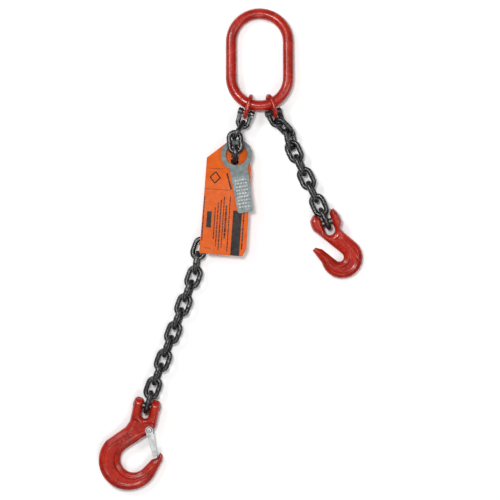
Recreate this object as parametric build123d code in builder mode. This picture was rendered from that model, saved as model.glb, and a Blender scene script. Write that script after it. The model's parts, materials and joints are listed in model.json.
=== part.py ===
"""Adjustable single-leg chain sling, 10 mm chain: an oblong master link, two coupling links, a long leg
with a clevis sling hook and a short leg with a clevis grab hook, laid out flat with its tags.

Millimetres. The origin is the crown of the master link's inside, where the crane hook bears.
The legs run towards -Y, the floor is the plane z = FLOOR, and +Z points up from it.
A piece's place is a plane: x along the piece, y across it, z square to its flat side.
"""
import os
from math import asin, cos, degrees, radians, sin, sqrt

from build123d import *

# Master link
MASTER_BAR = 22.0
MASTER_INNER_LENGTH = 167.0
MASTER_INNER_WIDTH = 94.0
MASTER_TILT = 3.26

# Coupling links: an eye round the master link, a fork for the chain, and the load pin that joins them
EYE_BAR = 8.5
EYE_INNER_LENGTH = 35.5
EYE_INNER_WIDTH = 26.0
EYE_HEADING = 17.0
EYE_OFFSET = 22.1
EYE_GAP = 0.6
FORK_BAR = 9.5
FORK_REACH = 30.5
FORK_PITCH = {"left": 3.0, "right": 20.0}
FORK_ROLL = {"left": 0.0, "right": -14.0}
FORK_EAR_OUT = 17.0
FORK_EAR_IN = 6.2
PIN_RADIUS = 4.5
RETAINER_RADIUS = 1.6
FORK_EAR_RADIUS = 7.2
FORK_RETAINER = (5.3, 13.5)
FORK_GROOVE = 0.85
FIT = 0.03

# Chain
CHAIN_BAR = 10.0
LINK_INNER_LENGTH = 30.3
LINK_INNER_WIDTH = 14.0
WELD_SWELL = 0.5
GAP = 0.3

# Clevis hooks: x runs from the load pin to the bowl, y across
CLEVIS_PIN_RADIUS = 6.25
CLEVIS_HALF = 14.0
HOOK_HALF = 11.0
HOOK_GROOVE = 1.4
HOOK_EDGE = 3.0
SLING_HOOK_HEADING = -12.0
SLING_HOOK_REACH = 178.0
SLING_RETAINER = (6.5, -21.0)
SLING_PIN_HALF = 28.0
GRAB_HOOK_HEADING = 20.0
GRAB_HOOK_REACH = 120.0
GRAB_EAR_RADIUS = 23.5
NEST_CENTRE = 31.5
NEST_RADIUS = 20.5
GRAB_RETAINER = (-6.5, -25.5)
GRAB_PIN_HALF = 28.0

# Safety latch on the sling hook
LATCH_PIVOT = (45.6, 15.3)
LATCH_DIRECTION = 24.5
LATCH_LENGTH = 58.5
LATCH_SHEET = 1.5
LATCH_INSIDE = HOOK_HALF + 0.6
LATCH_ROOT = 7.5
LATCH_NOSE = 4.0
RIVET_RADIUS = 3.0
SPRING_COIL = 4.5
SPRING_WIRE = 1.2

# Tags, both threaded on the third link of the long leg
RING_RADIUS = 32.0
RING_HOLE_RADIUS = 21.5
TAG_TILT = 12.0
TAG_BEND = 46.0
TAG_SPAN = 120.0
METAL_TAG_HEADING = 9.0
METAL_TAG_LENGTH = 118.0
METAL_TAG_THICKNESS = 3.5
CARD_HEADING = -4.0
CARD_THICKNESS = 1.0
METAL_TAG_LIFT = 0.6
METAL_TAG_SHIFT = 3.0

FLOOR = -MASTER_BAR / 2 * (1 + sin(radians(MASTER_TILT)))
CHAIN_HEIGHT = FLOOR + (LINK_INNER_WIDTH / 2 + CHAIN_BAR) + 0.05
HALF_LINK = (LINK_INNER_LENGTH + CHAIN_BAR) / 2

# Each link: heading from -Y towards +X, pitch above the floor, roll about its own length, extra slack
LEFT_HEADING = -20.2
RIGHT_HEADING = 24.6
LEFT_LINKS = 21
RIGHT_LINKS = 8
RIGHT_SLACK = {1: 1.5, 2: 1.5, 3: 2}


def finish(part, name):
    """Label one piece and write it."""
    part.label = name
    export_step(part, f"parts/{name}.step")


def along(origin, heading, pitch=0.0, roll=0.0):
    """The plane of a piece that runs from origin along a heading, pitched and rolled."""
    yaw, rise, turn = radians(heading), radians(pitch), radians(roll)
    direction = Vector(sin(yaw) * cos(rise), -cos(yaw) * cos(rise), sin(rise))
    across = Vector(cos(yaw), sin(yaw), 0)
    upward = direction.cross(across)
    return Plane(origin=origin, x_dir=direction, z_dir=upward * cos(turn) - across * sin(turn))


def shifted(plane, x=0.0, y=0.0, z=0.0):
    """The same plane with its origin moved in its own directions."""
    return Plane(origin=plane.from_local_coords(Vector(x, y, z)), x_dir=plane.x_dir, z_dir=plane.z_dir)


def hooked_on(parent, parent_half, parent_bar, heading, pitch, roll, half, bar, slack=0.0):
    """The plane of an oval piece hooked through the end of its parent, and the centres of the two bars."""
    free = along((0, 0, 0), heading, pitch, roll)
    normal = parent.y_dir.cross(free.y_dir).normalized()
    if normal.dot(parent.x_dir) < 0:
        normal = normal * -1
    parent_end = parent.origin + parent.x_dir * parent_half
    own_end = parent_end - normal * (parent_bar / 2 + bar / 2 + GAP + slack)
    place = along(own_end + free.x_dir * half, heading, pitch, roll)
    return place, parent_end, own_end


def oval_ring(place, bar, inner_length, inner_width):
    """A round bar bent to an oval ring in the plane's x and y."""
    bend = (inner_width + bar) / 2
    straight = (inner_length + bar) / 2 - bend
    with BuildPart() as ring:
        with BuildLine(place) as route:
            near = Line((-straight, -bend), (straight, -bend))
            front = TangentArc(near @ 1, (straight, bend), tangent=near % 1)
            far = Line(front @ 1, (-straight, bend))
            TangentArc(far @ 1, near @ 0, tangent=far % 1)
        with BuildSketch(Plane(origin=near @ 0, z_dir=near % 0)):
            Circle(bar / 2)
        sweep()
    return ring.part


def pitched(plane, angle):
    """The same plane turned about its own y, so that its x rises by the angle."""
    turn = radians(angle)
    rising = plane.x_dir * cos(turn) + plane.z_dir * sin(turn)
    return Plane(origin=plane.origin, x_dir=rising, z_dir=plane.z_dir * cos(turn) - plane.x_dir * sin(turn))


def coupling_places(side):
    """Planes of one coupling: the eye's centre, and the load pin's centre with x towards the chain."""
    sign = -1 if side == "left" else 1
    bend = (MASTER_INNER_WIDTH + MASTER_BAR) / 2
    down = MASTER_INNER_LENGTH + MASTER_BAR / 2 - bend + sqrt(bend**2 - EYE_OFFSET**2)
    tilt = radians(MASTER_TILT)
    bar_point = Vector(sign * EYE_OFFSET, -down * cos(tilt), FLOOR + EYE_INNER_WIDTH / 2 + EYE_BAR)
    heading = sign * EYE_HEADING
    eye = along(bar_point, heading, 0, 90 + FORK_ROLL[side])
    eye = shifted(eye, x=EYE_INNER_LENGTH / 2 - MASTER_BAR / 2 - EYE_GAP)
    pin_centre = eye.origin + eye.x_dir * (EYE_INNER_LENGTH / 2 - PIN_RADIUS - GAP)
    fork = pitched(along(pin_centre, heading, 0, FORK_ROLL[side]), FORK_PITCH[side])
    return eye, fork


def left_link_pose(i):
    """Heading, pitch and roll of the i-th link of the long leg."""
    threading = {1: (-30, 34.5, 90), 2: (4, 2, 0), 3: (-4, -54, 90)}
    if i in threading:
        return threading[i]
    snake = {4: 8, 5: -13, 7: 12, 9: -12, 11: 12, 21: 4}.get(i, 0)
    lean = {10: 4, 11: 9, 12: 14, 19: 13, 20: 8, 21: 0}.get(i, 17 if i > 12 else 0)
    return LEFT_HEADING + snake, 0, (90 if i % 2 else 0) + lean


def right_link_pose(i):
    """Heading, pitch and roll of the i-th link of the short leg."""
    first = {1: (45, -12.8, 57), 2: (12, -4.5, 128), 3: (RIGHT_HEADING, 0, 200)}
    if i in first:
        return first[i]
    lean = {4: 19, 5: 17, 6: 14, 7: 9, 8: 4}[i]
    return RIGHT_HEADING, 0, (0 if i % 2 else 90) + lean


def lay_leg(side, count, link_pose, slack_of):
    """The links' planes from the coupling's fork outwards, with each link's two hinge lines."""
    parent, reach, bar = coupling_places(side)[1], FORK_REACH, FORK_BAR
    links = []
    for i in range(1, count + 1):
        heading, pitch, roll = link_pose(i)
        extra = slack_of.get(i, 0)
        place, parent_end, own_end = hooked_on(
            parent, reach, bar, heading, pitch, roll, HALF_LINK, CHAIN_BAR, extra
        )
        if (side, i) == ("left", 4):
            slope = -degrees(asin((own_end.Z - CHAIN_HEIGHT) / (2 * HALF_LINK)))
            place = along(own_end, heading, slope, roll)
            place = shifted(place, x=HALF_LINK)
        links.append((place, parent_end, own_end, parent.y_dir, place.y_dir))
        parent, reach, bar = place, HALF_LINK, CHAIN_BAR
    return links


def chain_link(place):
    """A welded chain link with the small swell of its weld in the middle of one side."""
    side = (LINK_INNER_WIDTH + CHAIN_BAR) / 2
    ring = oval_ring(place, CHAIN_BAR, LINK_INNER_LENGTH, LINK_INNER_WIDTH)
    middle = shifted(place, y=side)
    with BuildPart() as link:
        add(ring)
        with BuildSketch(Plane(origin=shifted(middle, x=-2.5).origin, z_dir=place.x_dir)):
            Circle(CHAIN_BAR / 2 + WELD_SWELL)
        extrude(amount=5)
    return link.part


def master_link():
    """The oblong master link: its crown lies on the floor, and the coupling links lift its far end."""
    centre = MASTER_INNER_LENGTH / 2
    place = along((0, 0, 0), 0, MASTER_TILT)
    return oval_ring(shifted(place, x=centre), MASTER_BAR, MASTER_INNER_LENGTH, MASTER_INNER_WIDTH)


def coupling_fork(place):
    """A forged fork: a round bow for the chain, and two ears with the load pin's bore."""
    bow_radius = FORK_EAR_IN + FORK_BAR / 2
    bow_centre = FORK_REACH - bow_radius
    across = Plane(origin=place.origin, x_dir=place.x_dir, z_dir=place.y_dir)
    with BuildPart() as fork:
        with BuildLine(place):
            near = Line((0, -bow_radius), (bow_centre, -bow_radius))
            bow = TangentArc(near @ 1, (bow_centre, bow_radius), tangent=near % 1)
            Line(bow @ 1, (0, bow_radius))
        with BuildSketch(Plane(origin=near @ 0, z_dir=near % 0)):
            Circle(FORK_BAR / 2)
        sweep()
        for side in (-1, 1):
            with BuildSketch(place) as ear:
                with Locations((FORK_EAR_RADIUS / 2, side * (FORK_EAR_IN + FORK_EAR_OUT) / 2)):
                    Rectangle(FORK_EAR_RADIUS, FORK_EAR_OUT - FORK_EAR_IN)
                fillet(ear.vertices().group_by(Axis.X)[-1], 2)
            revolve(axis=Axis(place.origin, place.y_dir))
            with BuildSketch(place):
                with BuildLine():
                    Polyline(
                        (-4, side * (FORK_EAR_IN + 1)),
                        (-4, side * (FORK_EAR_OUT - 0.8)),
                        (7, side * (FORK_EAR_OUT - 0.8)),
                        (bow_centre + 3, side * (bow_radius + FORK_BAR / 2 - 1)),
                        (bow_centre - 4, side * bow_radius),
                        (bow_centre - 8, side * (FORK_EAR_IN + 1)),
                        close=True,
                    )
                make_face()
            extrude(amount=FORK_BAR / 2 - 1, both=True)
        with BuildSketch(across.offset(-FORK_EAR_OUT - 1)):
            Circle(PIN_RADIUS + FIT)
        extrude(amount=2 * FORK_EAR_OUT + 2, mode=Mode.SUBTRACT)
        with BuildSketch(shifted(place, x=FORK_RETAINER[0], y=FORK_RETAINER[1], z=-FORK_EAR_RADIUS)):
            Circle(RETAINER_RADIUS + FIT)
        extrude(amount=2 * FORK_EAR_RADIUS, mode=Mode.SUBTRACT)
    return fork.part


def load_pin(place, radius, half_length, groove_at, groove_depth):
    """A pin along the plane's y, with chamfered ends and a groove for the retaining pin."""
    across = Plane(origin=place.origin, x_dir=place.x_dir, z_dir=place.y_dir)
    with BuildPart() as pin:
        with BuildSketch(across.offset(-half_length)):
            Circle(radius)
        extrude(amount=2 * half_length)
        chamfer(pin.edges().filter_by(GeomType.CIRCLE), 0.8)
        with BuildSketch(across.offset(groove_at - RETAINER_RADIUS - 0.2)):
            Circle(radius + 1)
            Circle(radius - groove_depth, mode=Mode.SUBTRACT)
        extrude(amount=2 * RETAINER_RADIUS + 0.4, mode=Mode.SUBTRACT)
    return pin.part


def retaining_pin(place, x, y, half_length):
    """A rolled spring pin along the plane's z, with the slot of its seam."""
    with BuildPart() as pin:
        with BuildSketch(shifted(place, x=x, y=y, z=-half_length)):
            Circle(RETAINER_RADIUS)
            Circle(RETAINER_RADIUS - 0.5, mode=Mode.SUBTRACT)
            with Locations((RETAINER_RADIUS, 0)):
                Rectangle(2 * RETAINER_RADIUS, 0.6, mode=Mode.SUBTRACT)
        extrude(amount=2 * half_length)
    return pin.part


def hook_place(leg, heading, reach):
    """The plane of a hook on the last link of a leg: origin at its load pin, bowl resting on the floor."""
    parent, bar = leg[-1][0], 2 * CLEVIS_PIN_RADIUS
    pin_centre = hooked_on(parent, HALF_LINK, CHAIN_BAR, heading, 0, 0, 0, bar)[0].origin
    drop = pin_centre.Z - FLOOR - HOOK_HALF - GAP
    return along(pin_centre, heading, -degrees(asin(drop / reach)))


def clevis_cuts(place, slot_half, slot_end, retainer):
    """The clevis's chain slot, load-pin bore and retaining-pin hole, as one tool."""
    across = Plane(origin=place.origin, x_dir=place.x_dir, z_dir=place.y_dir)
    with BuildPart() as cuts:
        with BuildSketch(place):
            with Locations((slot_end - slot_half, 0)):
                Circle(slot_half)
            with Locations(((slot_end - slot_half) / 2 - 20, 0)):
                Rectangle(slot_end - slot_half + 40, 2 * slot_half)
        extrude(amount=CLEVIS_HALF + 1, both=True)
        with BuildSketch(across):
            Circle(CLEVIS_PIN_RADIUS + FIT)
        extrude(amount=40, both=True)
        with BuildSketch(shifted(place, x=retainer[0], y=retainer[1])):
            Circle(RETAINER_RADIUS + FIT)
        extrude(amount=CLEVIS_HALF + 1, both=True)
        with BuildSketch(Plane(origin=place.origin, x_dir=place.z_dir, z_dir=place.x_dir)):
            with Locations((NEST_CENTRE, 0)):
                Circle(NEST_RADIUS)
        revolve(axis=Axis(place.origin, place.y_dir), revolution_arc=-180)
    return cuts.part


def ear_limit(place, radius):
    """The space that keeps a clevis's ears round about the load pin, so that the hook can swing."""
    across = Plane(origin=place.origin, x_dir=place.x_dir, z_dir=place.y_dir)
    with BuildPart() as limit:
        with BuildSketch(across):
            Circle(radius)
            with Locations((30, 0)):
                Rectangle(60, 2 * max(radius, CLEVIS_HALF))
        extrude(amount=40, both=True)
    return limit.part


def round_edges(part, place, radius):
    """Round the rims of a plate's two flat faces."""
    faces = part.faces().filter_by(GeomType.PLANE).sort_by(Axis(place.origin, place.z_dir))
    fillet(faces[0].edges() + faces[-1].edges(), radius)


def sling_hook(place):
    """The forged clevis sling hook: two ears, a shank, a round bowl and a notched tip for the latch."""
    pivot = shifted(place, x=LATCH_PIVOT[0], y=LATCH_PIVOT[1])
    with BuildPart() as bowl_part:
        with BuildSketch(place) as outline:
            with BuildLine():
                back = CenterArc((117, -13.5), 61, -119.5, 194.3)
                bowl = CenterArc((113, -4), 26.3, -134, 193.5)
                Polyline(back @ 1, (100, 54.6), (90, 52), (87, 46), (97.5, 43.6), (101.5, 38), (104, 33),
                         bowl @ 1)
                Polyline(bowl @ 0, (47, 23.5), (36, 27.5), (10, 27.5), (10, -27.5), (36, -27.5),
                         (50, -33), back @ 0)
            make_face()
            fillet(outline.vertices().filter_by_position(Axis.X, 86, 101).sort_by(Axis.Y)[-3:], 3.5)
            fillet(outline.vertices().filter_by_position(Axis.X, 46, 51), 3)
        extrude(amount=HOOK_HALF, both=True)
        round_edges(bowl_part, place, HOOK_EDGE)
    with BuildPart() as hook:
        with BuildSketch(shifted(place, x=11.5)) as ears:
            Rectangle(51, 57)
            with Locations((-15, 0)):
                Rectangle(30, 15, mode=Mode.SUBTRACT)
            fillet(ears.vertices().group_by(Axis.X)[0], 8)
            fillet(ears.vertices().group_by(Axis.X)[-1], 4)
        extrude(amount=CLEVIS_HALF, both=True)
        round_edges(hook, place, HOOK_EDGE)
        add(ear_limit(place, CLEVIS_HALF), mode=Mode.INTERSECT)
        add(bowl_part.part)
        with BuildSketch(pivot):
            Circle(8.6)
        extrude(amount=3.6, both=True, mode=Mode.SUBTRACT)
        with BuildSketch(pivot):
            Circle(RIVET_RADIUS)
        extrude(amount=CLEVIS_HALF, both=True, mode=Mode.SUBTRACT)
        add(clevis_cuts(place, 7.5, 26, SLING_RETAINER), mode=Mode.SUBTRACT)
    return hook.part


def grab_hook(place):
    """The forged clevis grab hook: two ears and a narrow throat that holds one chain link on its edge."""
    with BuildPart() as throat_part:
        with BuildSketch(place) as outline:
            with BuildLine():
                back = CenterArc((78, 4), 42.3, -94.8, 210)
                throat = CenterArc((75, -0.8), 9, -58.4, 180)
                Polyline(back @ 1, (31, 25.6), (20, 21), (10, 21), (10, -26), (20, -23.3), throat @ 1)
                Polyline(throat @ 0, (47.9, -28.1), (40, -40), (43.4, -48), (54.6, -44.5), back @ 0)
            make_face()
            fillet(outline.vertices().sort_by(Axis.Y)[:3], 3.5)
            fillet(outline.vertices().filter_by_position(Axis.X, 28, 33), 5)
        extrude(amount=HOOK_HALF, both=True)
        round_edges(throat_part, place, HOOK_EDGE)
    with BuildPart() as hook:
        with BuildSketch(place) as ears:
            with BuildLine():
                Polyline((-23, -9), (-23.5, -22), (-14, -32.5), (-4, -34), (7, -32.8), (27, -19), (30, 0),
                         (27, 22), (20, 21.5), (8, 29.7), (-12, 27), (-23, 21.5), (-23, -9))
            make_face()
            fillet(ears.vertices().filter_by_position(Axis.X, -24, -3), 4)
        extrude(amount=CLEVIS_HALF, both=True)
        round_edges(hook, place, HOOK_EDGE)
        add(ear_limit(place, GRAB_EAR_RADIUS), mode=Mode.INTERSECT)
        add(throat_part.part)
        add(clevis_cuts(place, 10, 27, GRAB_RETAINER), mode=Mode.SUBTRACT)
    return hook.part


def latch_plane(place):
    """The latch's plane: origin at its pivot, x along it to its nose, y towards its outer edge."""
    pivot = shifted(place, x=LATCH_PIVOT[0], y=LATCH_PIVOT[1])
    turn = radians(LATCH_DIRECTION)
    direction = place.x_dir * cos(turn) + place.y_dir * sin(turn)
    return Plane(origin=pivot.origin, x_dir=direction, z_dir=place.z_dir)


def latch(place):
    """The sheet-metal latch: a tapered channel whose two cheeks straddle the hook at the pivot."""
    plane = latch_plane(place)
    outside = LATCH_INSIDE + LATCH_SHEET
    clear = LATCH_ROOT + 3
    beyond = LATCH_LENGTH + 5
    with BuildPart() as channel:
        with BuildSketch(plane) as cheek:
            with BuildLine():
                root = CenterArc((0, 0), LATCH_ROOT, 90, 180)
                Polyline(root @ 1, (LATCH_LENGTH, -LATCH_NOSE), (LATCH_LENGTH, LATCH_NOSE), root @ 0)
            make_face()
            fillet(cheek.vertices().group_by(Axis.X)[-1], 3)
        extrude(amount=outside, both=True)
        with BuildSketch(plane):
            with BuildLine():
                Polyline((clear, -10), (clear, 5), (beyond, LATCH_NOSE - 2.2), (beyond, -10), close=True)
            make_face()
            with Locations((clear - 10, 0)):
                Rectangle(20, 20)
        extrude(amount=LATCH_INSIDE, both=True, mode=Mode.SUBTRACT)
        with BuildSketch(plane):
            Circle(RIVET_RADIUS + 0.06)
        extrude(amount=outside + 1, both=True, mode=Mode.SUBTRACT)
    return channel.part


def latch_rivet(place):
    """The tubular rivet the latch turns on, with a rolled head on each side."""
    plane = latch_plane(place)
    face = LATCH_INSIDE + LATCH_SHEET + 0.1
    with BuildPart() as rivet:
        with BuildSketch(plane):
            Circle(RIVET_RADIUS)
        extrude(amount=face + 1.3, both=True)
        for side in (-1, 1):
            with BuildSketch(plane.offset(side * face)):
                Circle(RIVET_RADIUS + 1.6)
            extrude(amount=side * 1.3)
        ends = rivet.faces().filter_by(GeomType.PLANE).sort_by(Axis(plane.origin, plane.z_dir))
        fillet(ends[0].edges() + ends[-1].edges(), 0.6)
        with BuildSketch(plane.offset(-20)):
            Circle(1.5)
        extrude(amount=40, mode=Mode.SUBTRACT)
    return rivet.part


def latch_spring(place):
    """The latch's torsion spring: turns of wire round the rivet, a leg along the channel and a stub."""
    plane = latch_plane(place)
    turns = 3.5
    pitch = SPRING_WIRE + 0.15
    start = Plane(origin=shifted(plane, z=-turns * pitch / 2).origin, x_dir=plane.y_dir, z_dir=plane.z_dir)
    leg_end = shifted(plane, x=26, y=2.9, z=-turns * pitch / 2).origin
    with BuildPart() as spring:
        with BuildLine(start):
            coil = Helix(pitch, turns * pitch, SPRING_COIL)
        with BuildSketch(Plane(origin=coil @ 0, z_dir=coil % 0)):
            Circle(SPRING_WIRE / 2)
        sweep(path=coil, is_frenet=True)
        for root, end in ((coil @ 0, leg_end), (coil @ 1, coil @ 1 + (coil % 1) * 3)):
            with BuildSketch(Plane(origin=root, z_dir=end - root)):
                Circle(SPRING_WIRE / 2)
            extrude(amount=(end - root).length)
    return spring.part


def bent_plate(place, tilt_length, length, thickness, drop):
    """A flat plate through the place's origin, pitched as far as its bend and level from there on."""
    level = along(place.origin, METAL_TAG_HEADING)
    side = Plane(origin=level.origin, x_dir=level.x_dir, z_dir=-level.y_dir)
    slope = sin(radians(TAG_TILT)) / cos(radians(TAG_TILT))
    rise = TAG_BEND * slope
    with BuildPart() as plate:
        with BuildSketch(side) as section:
            with BuildLine():
                Polyline((-tilt_length, -tilt_length * slope - drop), (TAG_BEND, rise - drop),
                         (length, rise - drop), (length, rise - drop + thickness),
                         (TAG_BEND, rise - drop + thickness),
                         (-tilt_length, -tilt_length * slope - drop + thickness), close=True)
            make_face()
            fillet(section.vertices().filter_by_position(Axis.X, TAG_BEND - 1, TAG_BEND + 1), 12)
        extrude(amount=TAG_SPAN, both=True)
    return plate.part


def id_tag(place):
    """The cast metal tag: a ring that hangs on the chain, and a tapered plate for its markings."""
    level = shifted(along(place.origin, METAL_TAG_HEADING), y=METAL_TAG_SHIFT)
    ring = along(level.origin, METAL_TAG_HEADING, TAG_TILT)
    half = METAL_TAG_THICKNESS / 2
    with BuildPart() as tag:
        add(bent_plate(place, 40, METAL_TAG_LENGTH, METAL_TAG_THICKNESS, half - METAL_TAG_LIFT))
        with BuildSketch(level) as outline:
            Circle(RING_RADIUS)
            with BuildLine():
                Polyline((0, -22), (24, -18.5), (METAL_TAG_LENGTH, -15.7), (METAL_TAG_LENGTH, 15.7),
                         (24, 18.5), (0, 22), close=True)
            make_face()
            fillet(outline.vertices().group_by(Axis.X)[-1], 4)
        extrude(amount=60, both=True, mode=Mode.INTERSECT)
        with BuildSketch(ring):
            Circle(RING_HOLE_RADIUS)
        extrude(amount=20, both=True, mode=Mode.SUBTRACT)
        rim = tag.edges().filter_by(GeomType.CIRCLE)
        chamfer(rim.filter_by(lambda edge: abs(edge.radius - RING_HOLE_RADIUS) < 0.01), 0.8)
    return tag.part


def warning_tag(place):
    """The plastic card under the metal tag, slotted for the chain."""
    level = along(place.origin, CARD_HEADING)
    gap = METAL_TAG_THICKNESS / 2 + CARD_THICKNESS + GAP
    with BuildPart() as card:
        add(bent_plate(place, 80, 260, CARD_THICKNESS, gap))
        with BuildSketch(level) as outline:
            with BuildLine():
                Polyline((-26, -18.2), (-26, 8), (-8, 26), (28, 34), (188.9, 36), (203.8, 27.9),
                         (202.5, -59), (76, -57), (8.5, -57), close=True)
            make_face()
            fillet(outline.vertices(), 2.5)
        extrude(amount=60, both=True, mode=Mode.INTERSECT)
        with BuildSketch(along(place.origin, CARD_HEADING, TAG_TILT)):
            SlotOverall(44, 16)
        extrude(amount=20, both=True, mode=Mode.SUBTRACT)
    return card.part


def write_coupling(side):
    """One coupling link: eye, fork, load pin and retaining pin."""
    eye_place, fork_place = coupling_places(side)
    eye = oval_ring(eye_place, EYE_BAR, EYE_INNER_LENGTH, EYE_INNER_WIDTH)
    pin = load_pin(fork_place, PIN_RADIUS, FORK_EAR_OUT - 0.3, FORK_RETAINER[1], FORK_GROOVE)
    retainer = retaining_pin(fork_place, *FORK_RETAINER, FORK_EAR_RADIUS - 2.4)
    finish(eye, f"{side}_eye")
    finish(coupling_fork(fork_place), f"{side}_fork")
    finish(pin, f"{side}_load_pin")
    finish(retainer, f"{side}_retaining_pin")


def write_hook_pins(place, name, half_length, retainer):
    """The load pin and retaining pin of one hook."""
    pin = load_pin(place, CLEVIS_PIN_RADIUS, half_length, retainer[1], HOOK_GROOVE)
    finish(pin, f"{name}_pin")
    finish(retaining_pin(place, *retainer, CLEVIS_HALF - 1), f"{name}_retainer")


LEFT_LEG = lay_leg("left", LEFT_LINKS, left_link_pose, {})
RIGHT_LEG = lay_leg("right", RIGHT_LINKS, right_link_pose, RIGHT_SLACK)
SLING_HOOK = hook_place(LEFT_LEG, SLING_HOOK_HEADING, SLING_HOOK_REACH)
GRAB_HOOK = hook_place(RIGHT_LEG, GRAB_HOOK_HEADING, GRAB_HOOK_REACH)
TAG_LINK = LEFT_LEG[2][0]


def main():
    """Write every piece."""
    os.makedirs("parts", exist_ok=True)
    finish(master_link(), "master_link")
    for side in ("left", "right"):
        write_coupling(side)
    for side, leg in (("left", LEFT_LEG), ("right", RIGHT_LEG)):
        for i, link in enumerate(leg, 1):
            finish(chain_link(link[0]), f"{side}_link_{i:02d}")
    finish(sling_hook(SLING_HOOK), "sling_hook")
    write_hook_pins(SLING_HOOK, "sling_hook", SLING_PIN_HALF, SLING_RETAINER)
    finish(latch(SLING_HOOK), "latch")
    finish(latch_rivet(SLING_HOOK), "latch_rivet")
    finish(latch_spring(SLING_HOOK), "latch_spring")
    finish(grab_hook(GRAB_HOOK), "grab_hook")
    write_hook_pins(GRAB_HOOK, "grab_hook", GRAB_PIN_HALF, GRAB_RETAINER)
    finish(id_tag(TAG_LINK), "id_tag")
    finish(warning_tag(TAG_LINK), "warning_tag")


if __name__ == "__main__":
    main()
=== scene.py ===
"""Looks of the chain sling: forged hooks, swollen chain welds, printed card, cast tag, paint and steel."""
import json
import math
import random

import bmesh
import bpy
import numpy as np
from mathutils import Matrix, Vector
from mathutils.geometry import delaunay_2d_cdt

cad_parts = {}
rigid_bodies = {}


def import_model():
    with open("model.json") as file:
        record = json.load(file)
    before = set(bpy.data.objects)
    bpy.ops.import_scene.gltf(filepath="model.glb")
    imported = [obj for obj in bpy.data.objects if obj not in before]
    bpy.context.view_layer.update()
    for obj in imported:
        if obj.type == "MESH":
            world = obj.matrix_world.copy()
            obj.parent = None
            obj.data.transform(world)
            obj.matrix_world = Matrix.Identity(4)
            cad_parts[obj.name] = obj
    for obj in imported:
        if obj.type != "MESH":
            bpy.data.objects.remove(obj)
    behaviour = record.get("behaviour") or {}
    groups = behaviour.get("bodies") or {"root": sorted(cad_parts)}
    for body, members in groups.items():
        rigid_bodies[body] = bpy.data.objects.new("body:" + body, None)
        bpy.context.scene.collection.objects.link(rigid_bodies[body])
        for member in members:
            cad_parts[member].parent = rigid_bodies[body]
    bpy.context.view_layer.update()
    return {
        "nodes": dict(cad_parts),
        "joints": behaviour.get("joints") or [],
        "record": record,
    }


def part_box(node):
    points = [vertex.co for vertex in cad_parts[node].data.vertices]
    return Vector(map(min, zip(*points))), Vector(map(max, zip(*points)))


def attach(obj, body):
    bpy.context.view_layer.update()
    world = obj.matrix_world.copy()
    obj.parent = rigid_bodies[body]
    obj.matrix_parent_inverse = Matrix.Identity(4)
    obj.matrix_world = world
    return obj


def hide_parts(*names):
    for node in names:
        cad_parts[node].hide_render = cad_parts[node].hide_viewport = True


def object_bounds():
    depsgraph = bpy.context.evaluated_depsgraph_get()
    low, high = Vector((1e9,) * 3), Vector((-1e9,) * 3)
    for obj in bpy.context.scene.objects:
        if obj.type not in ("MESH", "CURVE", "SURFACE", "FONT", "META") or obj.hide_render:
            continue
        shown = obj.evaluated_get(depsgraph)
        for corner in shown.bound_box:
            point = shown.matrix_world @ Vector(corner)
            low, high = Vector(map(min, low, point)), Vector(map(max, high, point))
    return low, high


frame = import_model()
MM = 0.001
JOINTS = {joint["name"]: joint for joint in frame["joints"]}
MOUNTS = {mount["name"]: mount for mount in frame["record"]["mounts"]}
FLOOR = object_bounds()[0][2]

# forged hooks, in millimetres: distances in from the edge at which points are laid, and the middle's spacing
RINGS = (0.12, 0.45, 1.0, 1.8, 2.8, 4.0, 5.4, 7.0, 8.5, 10.0, 11.5, 13.0)
GRID = 1.5
CLEVIS_HALF = 14.0
BODY_HALF = 11.0
EAR_RADIUS = 23.5
NEST_RADIUS = 20.5

# chain links, in millimetres
LINK_BAR = 4.99
LINK_STRAIGHT = 8.15
LINK_BEND = 12.0
WELD_SWELL = 0.5
WELD_LENGTH = 2.6

# tags, in millimetres and degrees, as the CAD has them
CARD_HEADING = -4.0
METAL_TAG_HEADING = 9.0
METAL_TAG_SHIFT = 3.0
TAG_TILT = 12.0
TAG_BEND = 46.0
INK_BASE = -0.15
INK_TOP = 0.06
INK_TOP_ON_SLOPE = 0.1

# softboxes: place and size in metres, power in watts
SOFTBOXES = (
    ((-0.35, -0.1, 2.3), 0.4, 30),
    ((-1.4, 0.7, 1.7), 0.6, 22),
    ((1.5, -0.4, 1.8), 0.8, 12),
    ((0.1, -2.0, 1.7), 0.7, 10),
)
AIM = (-0.02, -0.47, 0)
CAMERA_OVER = (-0.0198, -0.4706)
CAMERA_DISTANCE = 3.0
VIEW_WIDTH = 1.017


# ---------------------------------------------------------------- materials

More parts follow.
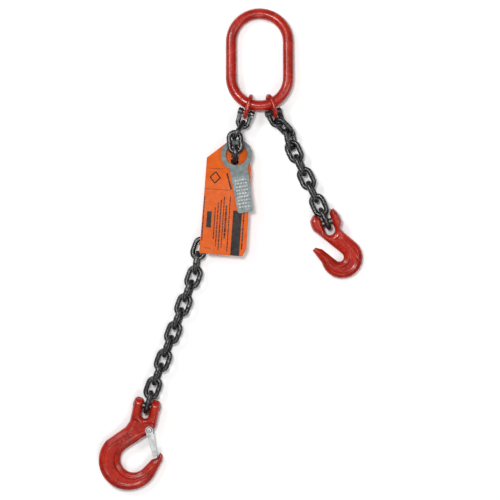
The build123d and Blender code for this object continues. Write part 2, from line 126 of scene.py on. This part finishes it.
class Nodes:
    """A small helper for one material's node tree."""

    def __init__(self, name):
        self.material = bpy.data.materials.new(name)
        self.material.use_nodes = True
        self.tree = self.material.node_tree
        self.shader = self.tree.nodes["Principled BSDF"]
        self.place = self.tree.nodes.new("ShaderNodeTexCoord").outputs["Object"]

    def set(self, **values):
        """Constant values on the shader's own sockets."""
        for key, value in values.items():
            self.shader.inputs[key.replace("_", " ")].default_value = value

    def link(self, output, key):
        self.tree.links.new(output, self.shader.inputs[key])

    def noise(self, scale, detail=4.0, roughness=0.55, stretch=None):
        """Noise in metres, so a scale of 100 has features of about a centimetre."""
        node = self.tree.nodes.new("ShaderNodeTexNoise")
        node.inputs["Scale"].default_value = scale
        node.inputs["Detail"].default_value = detail
        node.inputs["Roughness"].default_value = roughness
        source = self.place
        if stretch:
            mapping = self.tree.nodes.new("ShaderNodeMapping")
            mapping.inputs["Scale"].default_value = stretch
            self.tree.links.new(self.place, mapping.inputs["Vector"])
            source = mapping.outputs["Vector"]
        self.tree.links.new(source, node.inputs["Vector"])
        return node.outputs["Fac"]

    def edges(self, low, high):
        """1 on sharp outer edges and 0 elsewhere."""
        geometry = self.tree.nodes.new("ShaderNodeNewGeometry")
        return self.ramp(geometry.outputs["Pointiness"], [(low, (0, 0, 0)), (high, (1, 1, 1))])

    def ramp(self, source, stops):
        """A colour ramp through (position, colour) stops."""
        node = self.tree.nodes.new("ShaderNodeValToRGB")
        elements = node.color_ramp.elements
        while len(elements) < len(stops):
            elements.new(0.5)
        for element, (position, colour) in zip(elements, stops):
            element.position = position
            element.color = (*colour, 1)
        self.tree.links.new(source, node.inputs["Fac"])
        return node.outputs["Color"]

    def mix(self, factor, first, second, blend="MIX"):
        """first and second mixed by factor; colours may be outputs or plain values."""
        node = self.tree.nodes.new("ShaderNodeMix")
        node.data_type = "RGBA"
        node.blend_type = blend
        for socket, value in ((node.inputs[0], factor), (node.inputs[6], first), (node.inputs[7], second)):
            if isinstance(value, bpy.types.NodeSocket):
                self.tree.links.new(value, socket)
            elif isinstance(value, tuple):
                socket.default_value = (*value, 1)
            else:
                socket.default_value = value
        return node.outputs[2]

    def spread(self, source, low, high):
        """source mapped from 0.3..0.7, where noise lies, to low..high."""
        node = self.tree.nodes.new("ShaderNodeMapRange")
        node.inputs["From Min"].default_value = 0.3
        node.inputs["From Max"].default_value = 0.7
        node.inputs["To Min"].default_value = low
        node.inputs["To Max"].default_value = high
        self.tree.links.new(source, node.inputs["Value"])
        return node.outputs["Result"]

    def bump(self, source, distance, strength=1.0, under=None):
        """Bump of a height in metres; under is a bump below it."""
        node = self.tree.nodes.new("ShaderNodeBump")
        node.inputs["Strength"].default_value = strength
        node.inputs["Distance"].default_value = distance
        self.tree.links.new(source, node.inputs["Height"])
        if under:
            self.tree.links.new(under, node.inputs["Normal"])
        return node.outputs["Normal"]


def red_paint():
    """Glossy orange-red enamel, thick and slightly wavy, darker in patches and thin on edges."""
    n = Nodes("red_enamel")
    patches = n.ramp(n.noise(55, 5), [(0.32, (0.22, 0.005, 0.001)), (0.5, (0.31, 0.009, 0.002)),
                                      (0.68, (0.40, 0.016, 0.004))])
    specks = n.ramp(n.noise(420, 3), [(0.60, (0, 0, 0)), (0.72, (1, 1, 1))])
    colour = n.mix(n.mix(0.3, (0, 0, 0), specks), patches, (0.55, 0.04, 0.014))
    worn = n.mix(n.noise(230, 4), (0, 0, 0), n.edges(0.56, 0.68), "MULTIPLY")
    n.link(n.mix(worn, colour, (0.62, 0.07, 0.03)), "Base Color")
    n.link(n.spread(n.noise(160), 0.2, 0.36), "Roughness")
    n.link(n.bump(n.noise(950, 2), 0.00007, under=n.bump(n.noise(130, 4), 0.0006)), "Normal")
    n.set(Coat_Weight=0.2, Coat_Roughness=0.06, Specular_IOR_Level=0.35)
    return n.material


def black_steel():
    """Oily black heat-treated steel with grey rubbed edges and a grain of scale."""
    n = Nodes("black_scale")
    scale = n.ramp(n.noise(140, 6), [(0.3, (0.002, 0.002, 0.002)), (0.55, (0.006, 0.006, 0.007)),
                                     (0.75, (0.022, 0.021, 0.020))])
    rubbed = n.mix(n.noise(300, 3), (0, 0, 0), n.edges(0.53, 0.62), "MULTIPLY")
    n.link(n.mix(rubbed, scale, (0.22, 0.22, 0.22)), "Base Color")
    n.link(n.spread(n.noise(210), 0.2, 0.38), "Roughness")
    n.link(n.bump(n.noise(1300, 3), 0.00012, under=n.bump(n.noise(260, 4), 0.0005)), "Normal")
    n.set(Metallic=0.2, Specular_IOR_Level=0.9)
    return n.material


def bare_steel(name, dark, light):
    """Machined or drawn steel with fine marks along it."""
    n = Nodes(name)
    n.link(n.ramp(n.noise(300, 4), [(0.3, dark), (0.7, light)]), "Base Color")
    n.link(n.spread(n.noise(500), 0.25, 0.45), "Roughness")
    n.link(n.bump(n.noise(900, 2), 0.00006), "Normal")
    n.set(Metallic=1.0)
    return n.material


def zinc_plate():
    """Bright zinc plating on pressed sheet: cloudy, with drawing marks."""
    n = Nodes("zinc_plating")
    n.link(n.ramp(n.noise(70, 5), [(0.3, (0.42, 0.43, 0.43)), (0.7, (0.72, 0.73, 0.72))]), "Base Color")
    n.link(n.spread(n.noise(200), 0.28, 0.5), "Roughness")
    drawn = n.noise(500, 2, stretch=(1.0, 0.12, 1.0))
    n.link(n.bump(drawn, 0.00006, under=n.bump(n.noise(90, 3), 0.0003)), "Normal")
    n.set(Metallic=0.9)
    return n.material


def cast_metal(name, dark, light):
    """Dull grey cast metal with a sandy skin."""
    n = Nodes(name)
    body = n.ramp(n.noise(110, 6), [(0.3, dark), (0.7, light)])
    rubbed = n.mix(n.noise(260, 3), (0, 0, 0), n.edges(0.53, 0.62), "MULTIPLY")
    n.link(n.mix(rubbed, body, (0.6, 0.62, 0.62)), "Base Color")
    n.link(n.spread(n.noise(350), 0.38, 0.6), "Roughness")
    n.link(n.bump(n.noise(1500, 4), 0.00015, under=n.bump(n.noise(300, 3), 0.0003)), "Normal")
    n.set(Metallic=0.45)
    return n.material


def card_plastic(name, dark, light):
    """Printed sheet plastic: satin, faintly mottled and scuffed."""
    n = Nodes(name)
    colour = n.ramp(n.noise(60, 5), [(0.3, dark), (0.7, light)])
    scuffs = n.ramp(n.noise(900, 2, stretch=(0.15, 1.0, 1.0)), [(0.66, (0, 0, 0)), (0.8, (1, 1, 1))])
    faint = n.mix(0.12, (0, 0, 0), scuffs)
    n.link(n.mix(faint, colour, (0.70, 0.30, 0.12)), "Base Color")
    n.link(n.spread(n.noise(180), 0.34, 0.55), "Roughness")
    n.link(n.bump(n.noise(700, 2), 0.00005, under=n.bump(n.noise(18, 2), 0.0012)), "Normal")
    n.set(Specular_IOR_Level=0.12)
    return n.material


MATERIALS = {
    "red_paint": red_paint(),
    "black_steel": black_steel(),
    "spring_steel": bare_steel("spring_steel_wire", (0.28, 0.28, 0.29), (0.5, 0.5, 0.5)),
    "pin_steel": bare_steel("pin_steel_bar", (0.06, 0.06, 0.06), (0.16, 0.15, 0.15)),
    "zinc_plate": zinc_plate(),
    "cast_tag": cast_metal("cast_tag_metal", (0.085, 0.105, 0.105), (0.17, 0.195, 0.195)),
    "card": card_plastic("card_sheet", (0.50, 0.072, 0.003), (0.60, 0.098, 0.005)),
}
INK = card_plastic("card_ink", (0.012, 0.010, 0.012), (0.03, 0.022, 0.02))
RAISED = cast_metal("cast_tag_raised", (0.22, 0.24, 0.24), (0.42, 0.44, 0.44))


def dress_cad_nodes():
    """Give every carried-over CAD node its material."""
    slots = {part["node"]: part["material_slot"] for part in frame["record"]["subparts"]}
    for name, node in frame["nodes"].items():
        node.data.materials.clear()
        node.data.materials.append(MATERIALS[slots[name]])


# ---------------------------------------------------------------- places

def plane_of(origin, across, normal):
    """The matrix of a piece's own frame in millimetres: x along the piece, y across it, z its flat normal."""
    y = Vector(across).normalized()
    z = Vector(normal).normalized()
    x = y.cross(z)
    matrix = Matrix((x, y, z)).transposed().to_4x4() @ Matrix.Scale(MM, 4)
    matrix.translation = Vector(origin)
    return matrix


def level_plane(origin, heading):
    """A level frame at a height, with x turned by heading from -Y towards +X."""
    angle = math.radians(heading)
    return plane_of(origin, (math.cos(angle), math.sin(angle), 0), (0, 0, 1))


def finish_piece(name, vertices, faces, matrix, material, body):
    """Make one mesh object in the row frame, and attach it."""
    mesh = bpy.data.meshes.new(name)
    mesh.from_pydata([matrix @ Vector(v) for v in vertices], [], faces)
    piece = bpy.data.objects.new(name, mesh)
    bpy.context.scene.collection.objects.link(piece)
    shape = bmesh.new()
    shape.from_mesh(mesh)
    bmesh.ops.recalc_face_normals(shape, faces=shape.faces)
    shape.to_mesh(mesh)
    shape.free()
    mesh.materials.append(material)
    mesh.shade_smooth()
    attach(piece, body)
    return piece


# ---------------------------------------------------------------- forged hooks

def arc(centre, radius, start, sweep, step=1.0):
    """Points of an arc, in degrees."""
    count = max(2, int(abs(math.radians(sweep)) * radius / step))
    angles = np.radians(np.linspace(start, start + sweep, count))
    return [(centre[0] + radius * math.cos(a), centre[1] + radius * math.sin(a)) for a in angles]


def resampled(points, step):
    """A closed line with evenly spaced points."""
    line = np.array(points + points[:1], float)
    lengths = np.concatenate([[0], np.cumsum(np.linalg.norm(np.diff(line, axis=0), axis=1))])
    places = np.linspace(0, lengths[-1], int(lengths[-1] / step) + 1)[:-1]
    return np.stack([np.interp(places, lengths, line[:, k]) for k in (0, 1)], axis=1)


def softened(line, rounds):
    """A closed line with its corners rounded off."""
    for _ in range(rounds):
        line = 0.5 * line + 0.25 * (np.roll(line, 1, axis=0) + np.roll(line, -1, axis=0))
    return line


def inside(points, line):
    """Which points lie inside a closed line."""
    x, y = points[:, 0:1], points[:, 1:2]
    x0, y0 = line[:, 0], line[:, 1]
    x1, y1 = np.roll(x0, -1), np.roll(y0, -1)
    crossing = (y0 > y) != (y1 > y)
    with np.errstate(divide="ignore", invalid="ignore"):
        where = x0 + (y - y0) / (y1 - y0) * (x1 - x0)
    return (np.sum(crossing & (x < where), axis=1) % 2) == 1


def distance_to(points, line):
    """Distance from each point to a densely sampled line."""
    return np.array([np.sqrt(((line - p) ** 2).sum(axis=1).min()) for p in points])


def forging(name, outline, height, matrix, body):
    """A forged piece: an outline whose height at each point depends on its distance from the edge."""
    edge = softened(resampled(outline, 0.9), 3)
    dense = resampled([tuple(p) for p in edge], 0.3)
    ahead = np.roll(edge, -1, axis=0) - np.roll(edge, 1, axis=0)
    normal = np.stack([-ahead[:, 1], ahead[:, 0]], axis=1) / np.linalg.norm(ahead, axis=1)[:, None]
    if not inside(edge[:1] + normal[:1] * 0.3, edge)[0]:
        normal = -normal
    points, depth = [], []
    for ring in RINGS:
        moved = edge + normal * ring
        kept = moved[distance_to(moved, dense) > ring * 0.97 - 0.02]
        points.append(kept)
        depth.append(np.full(len(kept), ring))
    low, high = edge.min(axis=0), edge.max(axis=0)
    grid = np.array([(x, y) for x in np.arange(low[0], high[0], GRID)
                     for y in np.arange(low[1], high[1], GRID)])
    grid = grid[inside(grid, edge)]
    far = distance_to(grid, dense)
    points.append(grid[far > RINGS[-1] + 0.6])
    depth.append(far[far > RINGS[-1] + 0.6])
    points, depth = np.concatenate(points), np.concatenate(depth)
    count = len(edge)
    loop = [(i, (i + 1) % count) for i in range(count)]
    everything = [Vector(p) for p in np.concatenate([edge, points])]
    flat, _, triangles, origin, _, _ = delaunay_2d_cdt(everything, loop, [], 1, 1e-5)
    source = np.concatenate([np.zeros(count), depth])
    depths = np.array([source[o[0]] if o else 0 for o in origin])
    plan = np.array([tuple(p) for p in flat])
    heights = height(plan, depths)
    rim = depths == 0
    heights[rim] = 0
    top = [(x, y, z) for (x, y), z in zip(plan, heights)]
    under = {}
    vertices = list(top)
    for i, (x, y, z) in enumerate(top):
        if rim[i]:
            under[i] = i
        else:
            under[i] = len(vertices)
            vertices.append((x, y, -z))
    faces = [tuple(t) for t in triangles] + [tuple(under[i] for i in reversed(t)) for t in triangles]
    return finish_piece(name, vertices, faces, matrix, MATERIALS["red_paint"], body)


def step_between(value, low, high):
    """0 below low, 1 above high, smooth between."""
    t = np.clip((value - low) / (high - low), 0, 1)
    return t * t * (3 - 2 * t)


def forged_section(depth, full, nose, ridge_at, ridge):
    """Height over a forged section: a round nose, a ridge beside the edge and a shallow valley inside it."""
    rounded = np.sqrt(1 - (1 - np.clip(depth / nose, 0, 1)) ** 2)
    crest = np.exp(-((depth - ridge_at) / 2.3) ** 2) - 0.25 * step_between(depth, ridge_at, ridge_at + 4)
    return (full - ridge) * rounded + ridge * crest * step_between(depth, 3, ridge_at)


def pads(plan, places, size, rise):
    """Small raised plain pads on the face of a forging."""
    added = np.zeros(len(plan))
    for x, y, turn in places:
        c, s = math.cos(math.radians(turn)), math.sin(math.radians(turn))
        u = (plan[:, 0] - x) * c + (plan[:, 1] - y) * s
        v = -(plan[:, 0] - x) * s + (plan[:, 1] - y) * c
        added += rise * (1 - step_between(np.abs(u), size[0] - 1, size[0] + 1)) * (
            1 - step_between(np.abs(v), size[1] - 1, size[1] + 1))
    return added


def sling_hook():
    """The sling hook: ears, shank, round bowl with a ridge beside its inner edge, and a notched tip."""
    outline = (
        arc((-7.5, -15.3), 7.6, 90, 90) + arc((-7.1, -19.5), 8, 180, 90)
        + [(36, -27.5), (43, -30), (51, -33.5)]
        + arc((117, -13.5), 61, -119.5, 194.3)
        + [(101, 54.3), (91, 52), (87.3, 46), (97.5, 43.8), (101.5, 38.5), (104, 33)]
        + arc((113, -4), 26.3, 59.5, -193.5)
        + [(53, 17.5), (46, 23.8), (36, 27.5)]
        + arc((-7.1, 19.5), 8, 90, 90) + arc((-7.5, 15.3), 7.6, 180, 90)
        + arc((18.5, 0), 7.5, 90, -180)
    )

    def height(plan, depth):
        full = CLEVIS_HALF - (CLEVIS_HALF - BODY_HALF) * step_between(plan[:, 0], 26, 36)
        bowl = step_between(plan[:, 0], 48, 60)
        section = forged_section(depth, full, 7.0, 10.0, 0.4 + 1.7 * bowl)
        stamp_places = [(62, -22, -47), (68, -28, -47), (74, -34, -47), (80, -40, -47)]
        stamped = pads(plan, stamp_places, (2.4, 3.4), 0.55)
        lump_places = [(-3, 18, 0), (7, 19, 0), (15, 19, 0), (24, 16.5, 30), (4, -19, 20), (12, -19, 0)]
        lumps = pads(plan, lump_places, (1.2, 1.6), 1.0)
        crown = np.sqrt(np.clip(CLEVIS_HALF**2 - np.clip(-plan[:, 0], 0, None) ** 2, 0, None))
        return np.minimum(section + stamped + lumps, np.minimum(crown, CLEVIS_HALF - 0.05))

    joint = JOINTS["sling_hook_swing"]
    normal = -Vector(JOINTS["latch_hinge"]["axis"])
    matrix = plane_of(joint["pos_m"], joint["axis"], normal)
    piece = forging("sling_hook_forging", outline, height, matrix, "sling_hook")
    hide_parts("sling_hook")


def grab_hook():
    """The grab hook: flared ears, a ribbed body and a narrow throat."""
    outline = (
        [(-23.2, -19), (-23.2, -23), (-14, -32.3), (-4, -33.7), (7, -32.5), (20, -23.6)]
        + arc((75, -0.8), 9, 121.6, -180)
        + [(47.9, -28.1), (40, -39.5), (43.2, -47.5), (54.6, -44.2)]
        + arc((78, 4), 42.1, -94.8, 210)
        + [(31, 25.4), (20, 21.2), (8, 29.4), (-12, 26.8), (-22.8, 22)]
        + [(-22.6, 16), (-15, 10.4), (17, 10)]
        + arc((17, 0), 10, 90, -180)
        + [p for p in arc((-31.5, 0), NEST_RADIUS, -28, -38) if p[1] < -10]
    )

    def height(plan, depth):
        full = CLEVIS_HALF - (CLEVIS_HALF - BODY_HALF) * step_between(plan[:, 0], 16, 30)
        body = step_between(plan[:, 0], 30, 42)
        section = forged_section(depth, full, 7.0, 9.0, 0.5 + 1.8 * body)
        rib = 1.4 * body * np.exp(-((plan[:, 1] - 0.35 * (plan[:, 0] - 45) - 17) / 2.2) ** 2)
        crown = np.sqrt(np.clip(EAR_RADIUS**2 - plan[:, 0] ** 2 * (plan[:, 0] < 0), 0, None))
        return np.minimum(section + rib, np.minimum(crown, CLEVIS_HALF - 0.05))

    joint = JOINTS["grab_hook_swing"]
    matrix = plane_of(joint["pos_m"], joint["axis"], MOUNTS["shortening_slot"]["axis"])
    piece = forging("grab_hook_forging", outline, height, matrix, "grab_hook")
    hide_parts("grab_hook")


# ---------------------------------------------------------------- chain links

def link_frame(node):
    """A link's own frame, from the spread of its CAD vertices: x its length, y its width, z its normal."""
    points = np.array([v.co for v in frame["nodes"][node].data.vertices])
    low = np.array(points.min(axis=0))
    middle = np.array([0.5 * (low[k] + points[:, k].max()) for k in range(3)])
    spread = np.cov((points - points.mean(axis=0)).T)
    _, axes = np.linalg.eigh(spread)
    return middle, Vector(axes[:, 1]), Vector(axes[:, 0])


def weld_side(node, middle, across, normal):
    """Which of the link's two long bars, +1 or -1 along its width, has the weld on the CAD link."""
    points = np.array([v.co for v in frame["nodes"][node].data.vertices]) - middle
    lengthwise = points @ np.array(across.cross(normal))
    widthwise = points @ np.array(across)
    plain = widthwise[np.abs(lengthwise) > 0.005]
    welded = widthwise[np.abs(lengthwise) < 0.003]
    centre = 0.5 * (plain.max() + plain.min())
    return 1 if welded.max() - centre > centre - welded.min() else -1


def swollen_link(node, seed):
    """A chain link of round bar with the smooth swelling of its weld, standing in for the CAD link."""
    straight, bend = LINK_STRAIGHT, LINK_BEND
    middle, across, normal = link_frame(node)
    across = across * weld_side(node, middle, across, normal)
    matrix = plane_of(middle, across, normal)
    stations = []
    for k in range(12):
        stations.append((-straight + 2 * straight * k / 12, -bend, 1, 0))
    for k in range(22):
        a = -math.pi / 2 + math.pi * k / 22
        stations.append((straight + bend * math.cos(a), bend * math.sin(a), -math.sin(a), math.cos(a)))
    for k in range(12):
        stations.append((straight - 2 * straight * k / 12, bend, -1, 0))
    for k in range(22):
        a = math.pi / 2 + math.pi * k / 22
        stations.append((-straight + bend * math.cos(a), bend * math.sin(a), -math.sin(a), math.cos(a)))
    wobble = random.Random(seed)
    ring = 20
    vertices, faces = [], []
    for x, y, dx, dy in stations:
        weld = 0
        if y > bend - 0.1:
            weld = WELD_SWELL * math.exp(-((x - wobble.uniform(-0.1, 0.1)) / WELD_LENGTH) ** 2)
        radius = LINK_BAR + weld
        for j in range(ring):
            a = 2 * math.pi * j / ring
            out = radius * math.cos(a)
            vertices.append((x + out * dy, y - out * dx, radius * math.sin(a)))
    count = len(stations)
    for i in range(count):
        for j in range(ring):
            ahead = (i + 1) % count
            beside = (j + 1) % ring
            faces.append((i * ring + j, i * ring + beside, ahead * ring + beside, ahead * ring + j))
    steel = MATERIALS["black_steel"]
    piece = finish_piece(f"{node}_bar", vertices, faces, matrix, steel, node)
    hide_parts(node)


# ---------------------------------------------------------------- tags

def slab(vertices, faces, x0, x1, y0, y1, z0, z1, cut=0.0):
    """Add one flat bar with slightly smaller top to the lists."""
    base = len(vertices)
    for z, inset in ((z0, 0), (z1, cut)):
        vertices.extend([(x0 + inset, y0 + inset, z), (x1 - inset, y0 + inset, z),
                         (x1 - inset, y1 - inset, z), (x0 + inset, y1 - inset, z)])
    faces.append((base + 3, base + 2, base + 1, base))
    faces.append((base + 4, base + 5, base + 6, base + 7))
    for k in range(4):
        m = (k + 1) % 4
        faces.append((base + k, base + m, base + 4 + m, base + 4 + k))


def broken_row(vertices, faces, x0, x1, y, width, rng, longest=9.0):
    """A row of short plain bars with gaps, along x."""
    x = x0
    while x < x1:
        length = min(rng.uniform(2.5, longest), x1 - x)
        if length > 1:
            slab(vertices, faces, x, x + length, y - width / 2, y + width / 2, INK_BASE, INK_TOP)
        x += length + rng.uniform(0.7, 1.2)


def follow_bend(vertices):
    """Lower the marks that stand on the card's sloping part on to it."""
    turn = math.radians(METAL_TAG_HEADING - CARD_HEADING)
    slope = math.tan(math.radians(TAG_TILT))
    for i, (x, y, z) in enumerate(vertices):
        ahead = x * math.cos(turn) + y * math.sin(turn)
        vertices[i] = (x, y, z - max(0.0, TAG_BEND - ahead) * slope)


def slanted_bar(vertices, faces, start, end, width):
    """A straight printed bar between two points, in short pieces."""
    steps = 12
    dx, dy = (end[0] - start[0]) / steps, (end[1] - start[1]) / steps
    for k in range(steps):
        x, y = start[0] + dx * k, start[1] + dy * k
        x0, x1 = sorted((x, x + dx))
        y0, y1 = sorted((y, y + dy))
        slab(vertices, faces, x0 - 0.1, x1 + 0.1, y0 - width / 2, y1 + width / 2, INK_BASE,
             INK_TOP_ON_SLOPE)


def card_print():
    """Plain printed bars, rules, a band and a hollow diamond on the card: no lettering."""
    origin = JOINTS["warning_tag_lift"]["pos_m"]
    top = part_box("warning_tag")[1].z
    matrix = level_plane((origin[0], origin[1], top), CARD_HEADING)
    rng = random.Random(4)
    vertices, faces = [], []
    slab(vertices, faces, 112, 203, 4, 22, INK_BASE, INK_TOP)
    slab(vertices, faces, 71.6, 72.4, -55.5, -4, INK_BASE, INK_TOP)
    for x0, x1, y, width in (
        (96, 190, 26, 2.6), (84, 196, -3.5, 2.0), (103, 170, -10.2, 3.6), (86, 190, -15.5, 2.0),
        (92, 194, -21.3, 2.4), (98, 187, -27, 2.0), (108, 172, -32.5, 2.0), (87, 178, -55.5, 2.2),
    ):
        broken_row(vertices, faces, x0, x1, y, width, rng)
    slab(vertices, faces, 117, 150, -48.5, -39, INK_BASE, INK_TOP)
    slab(vertices, faces, 191, 192, -50, -36, INK_BASE, INK_TOP)
    for step in range(33):
        y = -54.5 + step
        slab(vertices, faces, 29.3, 30.1, y, y + 1.02, INK_BASE, INK_TOP_ON_SLOPE)
    corners = ((36, -37), (48, -27), (60, -37), (48, -47))
    for k in range(4):
        slanted_bar(vertices, faces, corners[k], corners[(k + 1) % 4], 2.2)
    slanted_bar(vertices, faces, (38, -14), (70, -3), 2.6)
    follow_bend(vertices)
    piece = finish_piece("card_print", vertices, faces, matrix, INK, "warning_tag")
    piece.data.shade_flat()


def tag_marks():
    """The metal tag's rows of plain raised bars."""
    origin = JOINTS["id_tag_turn"]["pos_m"]
    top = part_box("id_tag")[1].z
    matrix = level_plane((origin[0], origin[1], top), METAL_TAG_HEADING)
    rng = random.Random(9)
    vertices, faces = [], []
    for row in range(9):
        x = 50 + row * 6.8
        y = METAL_TAG_SHIFT - 12
        end = METAL_TAG_SHIFT + 12
        while y < end - 1:
            length = rng.uniform(2.0, 6.0)
            slab(vertices, faces, x, x + 3.4, y, min(y + length, end), -0.2, 0.4, 0.25)
            y += length + rng.uniform(1.0, 2.2)
    piece = finish_piece("tag_marks", vertices, faces, matrix, RAISED, "id_tag")
    piece.data.shade_flat()


def rivet_shade_ring():
    """A dark steel ring round the latch rivet's head: painted shade for the gap under the head."""
    joint = JOINTS["latch_hinge"]
    low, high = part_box("latch_rivet")
    matrix = level_plane(((low.x + high.x) / 2, (low.y + high.y) / 2, high.z), 0)
    radius = (high.x - low.x) * 500
    vertices, faces = [], []
    count = 40
    for k in range(count):
        angle = 2 * math.pi * k / count
        inner, outer = radius - 0.2, radius + 1.0
        for r, z in ((inner, -1.2), (inner, -0.35), (outer, -0.35), (outer, -1.2)):
            vertices.append((r * math.cos(angle), r * math.sin(angle), z))
        a, b = 4 * k, 4 * ((k + 1) % count)
        for q in range(4):
            faces.append((a + q, a + (q + 1) % 4, b + (q + 1) % 4, b + q))
    # dark steel ring laid in as painted shade round the rivet head
    finish_piece("rivet_shade_ring", vertices, faces, matrix, MATERIALS["pin_steel"], joint["parent"])


# ---------------------------------------------------------------- stage

def stage():
    """Pale floor, soft studio lights and a camera that looks straight down."""
    bpy.ops.mesh.primitive_grid_add(size=12, location=(0, -0.45, FLOOR - 0.0002), x_subdivisions=4,
                                    y_subdivisions=4)
    floor = bpy.context.object
    floor.name = "floor"
    paper = bpy.data.materials.new("white_paper")
    paper.use_nodes = True
    shader = paper.node_tree.nodes["Principled BSDF"]
    shader.inputs["Base Color"].default_value = (0.93, 0.93, 0.93, 1)
    shader.inputs["Roughness"].default_value = 0.9
    shader.inputs["Specular IOR Level"].default_value = 0.1
    floor.data.materials.append(paper)
    world = bpy.data.worlds.new("studio")
    world.use_nodes = True
    tree = world.node_tree
    place = tree.nodes.new("ShaderNodeTexCoord")
    split = tree.nodes.new("ShaderNodeSeparateXYZ")
    ramp = tree.nodes.new("ShaderNodeValToRGB")
    ramp.color_ramp.elements[0].position = 0.25
    ramp.color_ramp.elements[0].color = (0.06, 0.06, 0.06, 1)
    ramp.color_ramp.elements[1].position = 0.75
    ramp.color_ramp.elements[1].color = (1, 1, 1, 1)
    tree.links.new(place.outputs["Generated"], split.inputs[0])
    tree.links.new(split.outputs["Z"], ramp.inputs["Fac"])
    tree.links.new(ramp.outputs["Color"], tree.nodes["Background"].inputs["Color"])
    world.node_tree.nodes["Background"].inputs["Strength"].default_value = 0.34
    bpy.context.scene.world = world
    for place, size, power in SOFTBOXES:
        lamp = bpy.data.lights.new("softbox", "AREA")
        lamp.size = size
        lamp.energy = power
        holder = bpy.data.objects.new("softbox", lamp)
        holder.location = place
        ahead = Vector(AIM) - Vector(place)
        holder.rotation_euler = ahead.to_track_quat("-Z", "Y").to_euler()
        bpy.context.scene.collection.objects.link(holder)
    camera = bpy.data.cameras.new("camera")
    camera.sensor_width = 36
    camera.lens = camera.sensor_width * CAMERA_DISTANCE / VIEW_WIDTH
    camera.clip_end = 20
    holder = bpy.data.objects.new("camera", camera)
    holder.location = (*CAMERA_OVER, FLOOR + 0.018 + CAMERA_DISTANCE)
    bpy.context.scene.collection.objects.link(holder)
    bpy.context.scene.camera = holder
    bpy.context.scene.view_settings.view_transform = "Standard"


dress_cad_nodes()
sling_hook()
grab_hook()
for number, node_name in enumerate(sorted(n for n in frame["nodes"] if "_link_" in n)):
    swollen_link(node_name, number)
card_print()
tag_marks()
rivet_shade_ring()
stage()
